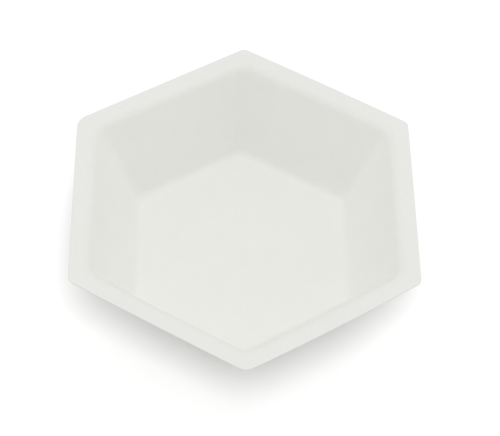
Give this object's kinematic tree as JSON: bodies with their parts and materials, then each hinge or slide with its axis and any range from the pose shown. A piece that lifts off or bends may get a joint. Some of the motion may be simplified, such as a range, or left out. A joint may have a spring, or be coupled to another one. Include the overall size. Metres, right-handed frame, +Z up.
{
  "type": "weighing boat",
  "caption": "Shallow hexagonal weighing boat of thin formed white plastic sheet, with a flat floor, flared walls and a flat rim.",
  "frame": {"origin": "centre of the underside of the floor, on the surface the boat stands on", "axes": "+Z up, out of the open top; +Y towards one corner of the hexagon; +X towards the middle of one flat side"},
  "size_m": [0.082, 0.094, 0.022],
  "materials": {
    "sheet": "satin"
  },
  "bodies": {
    "root": {"boat": "sheet"}
  },
  "joints": []
}
